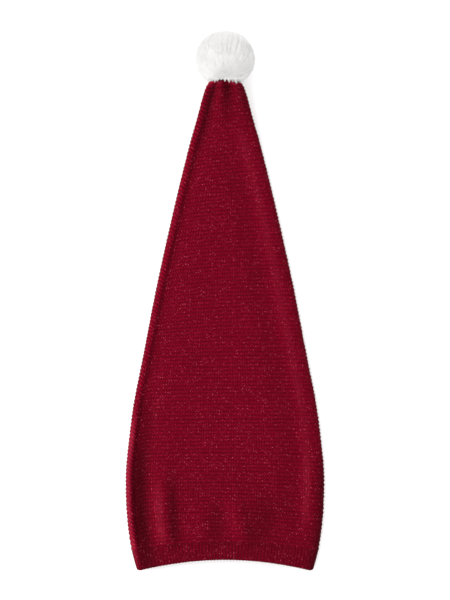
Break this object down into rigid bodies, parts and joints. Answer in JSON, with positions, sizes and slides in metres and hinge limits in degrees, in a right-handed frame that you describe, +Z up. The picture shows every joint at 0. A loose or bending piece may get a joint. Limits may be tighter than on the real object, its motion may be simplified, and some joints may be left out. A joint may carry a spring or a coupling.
{
  "type": "knitted gnome hat",
  "caption": "Long knitted cone hat lying flat, with a soft garter-stitch crown, a ribbed band at its open mouth and a fur pompom on its gathered tip.",
  "frame": {"origin": "on the surface that the hat lies on, under the middle of its outer box", "axes": "+Y from the mouth to the tip, +X to the right edge, +Z up out of the lying hat"},
  "size_m": [0.267, 0.7272, 0.0807],
  "materials": {
    "garter_knit": "wine-red garter knit with fine glitter thread",
    "rib_knit": "wine-red single ribbing with fine glitter thread",
    "pompom_fur": "dense white fake fur"
  },
  "bodies": {
    "root": {"crown": "garter_knit", "rib_band": "rib_knit", "pompom": "pompom_fur"}
  },
  "joints": []
}
